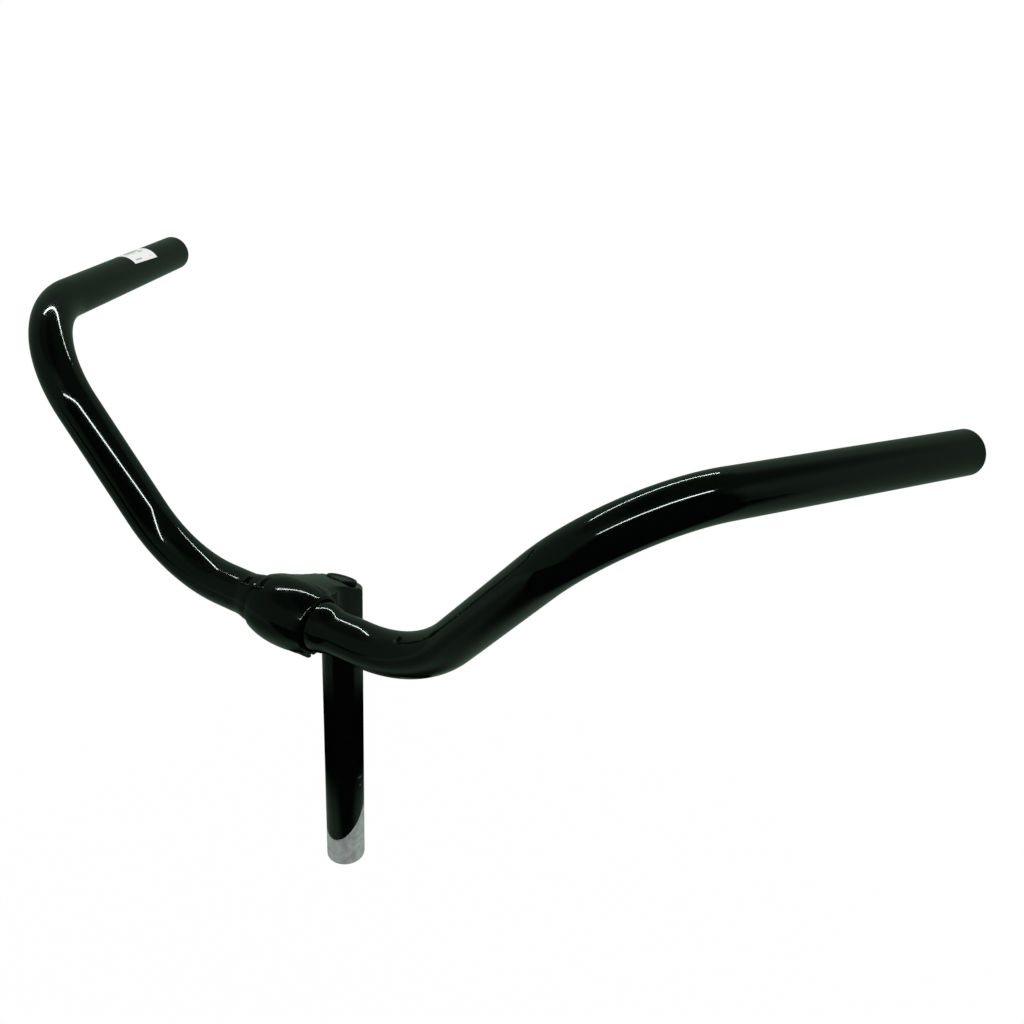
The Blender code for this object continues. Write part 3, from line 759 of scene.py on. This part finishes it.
long_rings = np.concatenate([
    flat_rings(LONG_TIP, 0.0, 0.0032),
    thread_rings(0.0040, 0.00055, 0.00125, LONG_TIP + 0.0008, -0.1300, 180),
    lathe([(0.0040, -0.1290), (0.0040, -0.0004), (0.0043, 0.0)]),
    lathe([(0.0060, 0.0), (0.0064, 0.0002), (HEAD_RADIUS, 0.0006)]),
    knurl,
    lathe([
        (HEAD_RADIUS, 0.0067), (0.0064, 0.0073), (0.0060, 0.0078), (0.0056, HEAD_HEIGHT),
        (0.0041, HEAD_HEIGHT),
    ]),
    socket,
    flat_rings(HEAD_HEIGHT - 0.0042, 0.0010, 0.0, 2),
])
long_mesh = shifted(closed_form("socket_head_bolt", long_rings), (0.0, 0.0, UNDER_HEAD))
zinc = metal("zinc_plate", (0.55, 0.56, 0.58), 0.28, 2000.0, (1.0, 1.0, 0.2))
socket_bolt = place("socket_head_bolt", long_mesh, zinc)
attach(socket_bolt, "expander_bolt")
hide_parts("expander_bolt")

seat_mesh = shifted(washer_mesh("seat_ring", 0.0042, 0.0070, 0.0015), (0.0, 0.0, WASHER_LEVEL))
seat_ring = place("seat_ring", seat_mesh, zinc)
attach(seat_ring, "stem")
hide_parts("expander_washer")


# Expander wedge. Bare cast aluminium, turned to the quill's width and sawn at 35 degrees, with a
# chamfered foot and a threaded hole. It slides across the quill's slant when the bolt is drawn up.
WEDGE_FOOT = -0.0650
WEDGE_LEVEL = FOOT_LEVEL - SEAT_GAP / math.sin(FOOT_SLOPE)
WEDGE_AROUND = 128


def slant_ring(radius, drop=0.0):
    """A ring on the wedge's slanted face: height = level + y / tan(slope), less a drop."""
    angle = round_angles(WEDGE_AROUND)
    y = radius * np.sin(angle)
    return np.stack([radius * np.cos(angle), y, WEDGE_LEVEL - drop + y / math.tan(FOOT_SLOPE)], -1)


def between(first, last, count):
    """Rings spaced evenly from one ring to another, the first left out."""
    share = np.linspace(0.0, 1.0, count + 1)[1:, None, None]
    return first + (last - first) * share


foot_edge = lathe([
    (0.0046, WEDGE_FOOT), (0.0097, WEDGE_FOOT), (0.0100, WEDGE_FOOT + 0.0001),
    (0.0110, WEDGE_FOOT + 0.0011), (QUILL_RADIUS, WEDGE_FOOT + 0.0014),
], WEDGE_AROUND)
outer_edge = slant_ring(QUILL_RADIUS, 0.00035)
face_edge = slant_ring(QUILL_RADIUS - 0.00025)
hole_edge = slant_ring(0.0045)
hole_side = slant_ring(0.0042, 0.0003)
hole_foot = lathe([(0.0042, WEDGE_FOOT + 0.0004)], WEDGE_AROUND)[0]
wedge_rings = np.concatenate([
    foot_edge, between(foot_edge[-1], outer_edge, 14), face_edge[None],
    between(face_edge, hole_edge, 5), hole_side[None], between(hole_side, hole_foot, 8),
])
wedge_mesh = grid_mesh("cast_wedge", wedge_rings, closed_loop=True, sharp=30.0)
wedge_metal = metal(
    "bare_aluminium", (0.80, 0.81, 0.82), 0.42, 900.0, (0.25, 0.25, 3.0), 0.7, 0.35
)
cast_wedge = place("cast_wedge", wedge_mesh, wedge_metal)
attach(cast_wedge, "wedge")
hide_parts("expander_wedge")


# Label. A blank white paper sticker, 31 by 17 mm, wrapped a little askew over the far grip, with
# plain grey bars where print would be. It lies on the paint, and its edge is 0.08 mm thick.
LABEL_MIDDLE = (0.0640, 0.0014)
LABEL_SIZE = (0.0312, 0.0174)
LABEL_ASKEW = math.radians(2.4)
LABEL_THICK = 0.00008
grip_out = np.array(AXIS_CORNERS[3][0]) - np.array(AXIS_CORNERS[2][0])
grip_out = grip_out * (-1.0, 1.0, 1.0) / np.linalg.norm(grip_out)
grip_up = np.array([0.0, 0.0, 1.0]) - grip_out * grip_out[2]
grip_up /= np.linalg.norm(grip_up)
grip_in = np.cross(grip_out, grip_up)
grip_end = CLAMP + np.array(AXIS_CORNERS[3][0]) * (-1.0, 1.0, 1.0)


def label_grid(radius, long_count=40, round_count=34):
    """Points of a flat sheet, turned askew and then wrapped round the far grip.

    A point is end - out * run + radius * (up * cos(bend) + in * sin(bend)), where run and
    bend * radius are the sheet's own two lengths after the turn.
    """
    u = np.linspace(-0.5, 0.5, long_count)[:, None] * LABEL_SIZE[0]
    v = np.linspace(-0.5, 0.5, round_count)[None, :] * LABEL_SIZE[1]
    run = LABEL_MIDDLE[0] + u * math.cos(LABEL_ASKEW) + v * math.sin(LABEL_ASKEW)
    bend = (LABEL_MIDDLE[1] - u * math.sin(LABEL_ASKEW) + v * math.cos(LABEL_ASKEW)) / GRIP_RADIUS
    spoke = np.cos(bend)[..., None] * grip_up + np.sin(bend)[..., None] * grip_in
    return grip_end - grip_out * run[..., None] + radius * spoke


top_sheet = label_grid(GRIP_RADIUS + LABEL_THICK)
low_sheet = label_grid(GRIP_RADIUS + 0.00001)
label_points = np.concatenate([top_sheet.reshape(-1, 3), low_sheet.reshape(-1, 3)])
rows, columns = top_sheet.shape[:2]
index = np.arange(rows * columns).reshape(rows, columns)
top_faces = np.stack([index[:-1, :-1], index[1:, :-1], index[1:, 1:], index[:-1, 1:]], -1)
top_faces = top_faces.reshape(-1, 4)
low_faces = top_faces[:, ::-1] + index.size
rim_loop = np.concatenate([index[0, :-1], index[:-1, -1], index[-1, :0:-1], index[:0:-1, 0]])
rim_next = np.roll(rim_loop, -1)
rim_faces = np.stack([rim_loop, rim_next, rim_next + index.size, rim_loop + index.size], -1)
label_mesh = bpy.data.meshes.new("paper_label")
label_mesh.from_pydata(label_points, [], np.concatenate([top_faces, low_faces, rim_faces]))
label_mesh.update()
sheet_uv = np.meshgrid(np.linspace(0.0, 1.0, rows), np.linspace(0.0, 1.0, columns), indexing="ij")
sheet_uv = np.tile(np.stack(sheet_uv, -1).reshape(-1, 2), (2, 1))
uv_layer = label_mesh.uv_layers.new(name="sheet")
corner = np.empty(len(label_mesh.loops), int)
label_mesh.loops.foreach_get("vertex_index", corner)
uv_layer.data.foreach_set("uv", sheet_uv[corner].ravel())

paper, tree, shader, on_object = surfaced("coated_paper")
on_sheet = node(tree, "UVMap", {})
on_sheet.uv_map = "sheet"
sides = node(tree, "SeparateXYZ", {0: on_sheet.outputs["UV"]})


def maths(tree, operation, first, second):
    """A number worked out from one or two others."""
    step = tree.nodes.new("ShaderNodeMath")
    step.operation = operation
    feed(tree, step, {0: first, 1: second})
    return step.outputs[0]


def strip(value, first, last, soft=0.012):
    """One between two values of a coordinate and nought outside them, with a soft edge."""
    away = maths(tree, "SUBTRACT", value, (first + last) / 2)
    half_width = (last - first) / 2
    return ranged(
        tree, maths(tree, "ABSOLUTE", away, 0.0), (0.0, 1.0), (half_width + soft, half_width - soft)
    )


# Each bar of grey ink is (left, right, low edge, high edge, darkness) in shares of the sheet.
ink = 0.0
for left, right, low_edge, high_edge, darkness in (
    (0.26, 0.82, 0.10, 0.42, 0.55), (0.48, 0.88, 0.42, 0.52, 0.28), (0.22, 0.39, 0.46, 0.55, 0.60),
    (0.60, 0.86, 0.83, 0.90, 0.60), (0.12, 0.26, 0.84, 0.88, 0.20), (0.15, 0.45, 0.66, 0.69, 0.10),
):
    bar_shape = maths(
        tree, "MULTIPLY",
        strip(sides.outputs["X"], left, right), strip(sides.outputs["Y"], low_edge, high_edge),
    )
    ink = maths(tree, "MAXIMUM", ink, maths(tree, "MULTIPLY", bar_shape, darkness))
fibre = noise(tree, on_object, 1800.0, 4.0)
tone = two_tones(tree, fibre, (0.0, 1.0), (0.86, 0.87, 0.86), (0.96, 0.96, 0.95))
weave = node(tree, "Bump", {"Height": fibre, "Strength": 0.15, "Distance": 0.00003})
feed(tree, shader, {
    "Base Color": mixed(tree, "RGBA", ink, tone, (0.16, 0.17, 0.165, 1.0)),
    "Roughness": 0.42, "Specular IOR Level": 0.35, "Normal": weave.outputs["Normal"],
})
paper_label = place("paper_label", faced(label_mesh, 40.0), paper)
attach(paper_label, "bar")


# Floor and light. A pale floor under the part and white all round it, a wide soft lamp overhead
# and narrow tube lamps, which draw the thin lines of light along the paint.
FLOOR_LEVEL = -0.30
FLOOR_MIDDLE = (0.0, 0.05, FLOOR_LEVEL)
WHITE = (1.0, 1.0, 1.0, 1.0)
LAMP_AIM = np.array([0.0, 0.02, 0.18])
TUBE_COLOUR = (0.87, 1.0, 0.965)


def looked_at(tree):
    """One where the camera, a mirror or a glass looks, and nought where light only falls."""
    ray = node(tree, "LightPath", {})
    seen = maths(tree, "MAXIMUM", ray.outputs["Is Camera Ray"], ray.outputs["Is Glossy Ray"])
    return maths(tree, "MAXIMUM", seen, ray.outputs["Is Transmission Ray"])


def emptied(name):
    """A new material for the stage: its node tree, its output and its object coordinates."""
    material = bpy.data.materials.new(name)
    material.use_nodes = True
    tree = material.node_tree
    tree.nodes.clear()
    on_object = node(tree, "TexCoord", {}).outputs["Object"]
    return material, tree, node(tree, "OutputMaterial", {}), on_object


# The floor glows where it is looked at, less a share that the part's shadow falls on. That share
# fades out from 0.35 m to 0.9 m from the middle, so that the floor has no far edge.
floor_white, tree, output, on_object = emptied("floor_white")
card = node(tree, "BsdfDiffuse", {"Color": (0.86, 0.86, 0.86, 1.0)})
glow = node(tree, "Emission", {"Color": WHITE, "Strength": 1.0})
away = measured(tree, "DISTANCE", on_object, FLOOR_MIDDLE)
glowing = maths(
    tree, "MULTIPLY", looked_at(tree), ranged(tree, away, (0.96, 1.0), (0.35, 0.90), smooth=True)
)
both = node(tree, "MixShader", {0: glowing, 1: card.outputs[0], 2: glow.outputs[0]})
feed(tree, output, {"Surface": both.outputs[0]})
floor_mesh = bpy.data.meshes.new("floor")
floor_mesh.from_pydata(
    [(-8, -8, FLOOR_LEVEL), (8, -8, FLOOR_LEVEL), (8, 8, FLOOR_LEVEL), (-8, 8, FLOOR_LEVEL)],
    [], [(0, 1, 2, 3)],
)
floor = place("floor", floor_mesh, floor_white)

world = bpy.data.worlds.new("studio")
bpy.context.scene.world = world
world.use_nodes = True
sky = world.node_tree
feed(sky, sky.nodes["Background"], {
    "Color": WHITE, "Strength": ranged(sky, looked_at(sky), (0.88, 1.0)),
})


def area_lamp(name, place_at, along, size, brightness):
    """An area lamp with its first side along a direction and its face turned to the part.

    Its power is brightness * pi * its area, so that its face has that brightness.
    """
    light = bpy.data.lights.new(name, "AREA")
    light.shape = "RECTANGLE"
    light.size, light.size_y = size
    light.energy = brightness * math.pi * size[0] * size[1]
    obj = bpy.data.objects.new(name, light)
    obj.visible_camera = False
    along = np.array(along) / np.linalg.norm(along)
    forward = LAMP_AIM - place_at
    forward -= along * (forward @ along)
    forward /= np.linalg.norm(forward)
    stand(obj, along, np.cross(-forward, along), -forward, place_at)
    return obj


overhead = area_lamp("overhead_soft", (0.0, 0.1, 2.2), (-1.0, 0.0, 0.0), (1.8, 1.8), 0.9)
overhead.visible_glossy = False

# A tent of grey-green cloth hangs round a white table, whose edge runs across in front to the
# right, before a dark card. The camera doesn't see them, and only the paint mirrors them.
TENT_RADIUS = 2.4
TABLE_LEVEL = FLOOR_LEVEL + 0.01
rise = np.linspace(-np.pi / 2, np.pi / 2, 49)
tent = lathe(np.stack([TENT_RADIUS * np.cos(rise), TENT_RADIUS * np.sin(rise)], -1))
tent[..., 2] = np.maximum(tent[..., 2], TABLE_LEVEL)
cloth, tree, output, on_object = emptied("tent_cloth")
unit = tree.nodes.new("ShaderNodeVectorMath")
unit.operation = "NORMALIZE"
feed(tree, unit, {0: on_object})


def patch(azimuth, elevation, size, soft, inside):
    """Brightness that goes from one value to full at an angle from a direction, in degrees."""
    a, e = math.radians(azimuth), math.radians(elevation)
    toward = (math.sin(a) * math.cos(e), -math.cos(a) * math.cos(e), math.sin(e))
    nearness = measured(tree, "DOT_PRODUCT", unit.outputs[0], toward)
    edges = math.cos(math.radians(size + soft)), math.cos(math.radians(size))
    return ranged(tree, nearness, (1.0, inside), edges, smooth=True)


walls = 1.0
for azimuth, elevation, size, soft, inside in (
    (51.0, 0.0, 48.0, 15.0, 0.02), (110.0, 72.0, 32.0, 14.0, 0.28),
    (-50.0, 68.0, 16.0, 16.0, 0.40), (-48.0, 8.0, 34.0, 26.0, 0.72),
):
    walls = maths(tree, "MULTIPLY", walls, patch(azimuth, elevation, size, soft, inside))

# The table is white beyond either of two straight edges, with a bright pool by the part and two
# dark ones. Each edge is (direction, levels, bounds) and each pool is (middle, levels, bounds).
table = 0.0
for toward, levels, bounds in (
    ((0.755, -0.656, 0.0), (1.0, 0.02), (0.13, 0.28)),
    ((-0.342, 0.940, 0.0), (0.02, 1.0), (-0.10, 0.04)),
):
    along_table = measured(tree, "DOT_PRODUCT", on_object, toward)
    table = maths(tree, "MAXIMUM", table, ranged(tree, along_table, levels, bounds, smooth=True))
for middle, levels, bounds in (
    ((0.08, 0.0, TABLE_LEVEL), (1.35, 1.0), (0.25, 0.75)),
    ((-0.05, -0.05, TABLE_LEVEL), (0.10, 1.0), (0.04, 0.22)),
    ((-0.60, -0.60, TABLE_LEVEL), (0.60, 1.0), (0.20, 0.70)),
):
    off_middle = measured(tree, "DISTANCE", on_object, middle)
    table = maths(tree, "MULTIPLY", table, ranged(tree, off_middle, levels, bounds, smooth=True))
height = node(tree, "SeparateXYZ", {0: on_object}).outputs["Z"]
hem = ranged(tree, height, (0.0, 1.0), (FLOOR_LEVEL + 0.02, FLOOR_LEVEL + 0.10), smooth=True)
dim = node(tree, "Emission", {
    "Color": (0.118, 0.182, 0.134, 1.0), "Strength": mixed(tree, "FLOAT", hem, table, walls),
})
feed(tree, output, {"Surface": dim.outputs[0]})
tent_obj = place("cloth_tent", grid_mesh("cloth_tent", tent[:, ::-1]), cloth)

# A dark sleeve stands round the quill, 50 mm from its axis, seen only in its gloss, so that the
# quill goes black below the clamp. Both of its edges are soft.
SLEEVE_RADIUS = 0.050
SLEEVE_TOP = (0.018, 0.050)
SLEEVE_FOOT = (-0.072, -0.028)
felt, tree, output, on_object = emptied("dark_sleeve")
height = node(tree, "SeparateXYZ", {0: on_object}).outputs["Z"]
dark = maths(
    tree, "MULTIPLY",
    ranged(tree, height, (1.0, 0.0), SLEEVE_TOP, smooth=True),
    ranged(tree, height, (0.0, 1.0), SLEEVE_FOOT, smooth=True),
)
clear = node(tree, "BsdfTransparent", {})
black = node(tree, "Emission", {"Color": (0.0, 0.0, 0.0, 1.0)})
both = node(tree, "MixShader", {0: dark, 1: clear.outputs[0], 2: black.outputs[0]})
feed(tree, output, {"Surface": both.outputs[0]})
sleeve_sides = lathe([(SLEEVE_RADIUS, SLEEVE_FOOT[0]), (SLEEVE_RADIUS, SLEEVE_TOP[1])])
sleeve = place("dark_sleeve", grid_mesh("dark_sleeve", sleeve_sides), felt)
for mirrored in (tent_obj, sleeve):
    mirrored.visible_camera = mirrored.visible_diffuse = False
    mirrored.visible_shadow = mirrored.visible_transmission = False

# Two straight tube lamps, each between two points, draw the thin lines in the gloss.
for name, first, last, width, brightness in (
    ("front_tube", (0.02, -1.04, 0.8), (0.665, 0.073, 0.8), 0.024, 44.0),
    ("back_tube", (-0.57, 0.02, 0.8), (0.00, 0.78, 0.8), 0.014, 54.0),
):
    along = np.subtract(last, first)
    size = (float(np.linalg.norm(along)), width)
    tube_lamp = area_lamp(name, np.add(first, last) / 2, along, size, brightness)
    tube_lamp.data.color = TUBE_COLOUR
    tube_lamp.visible_diffuse = False
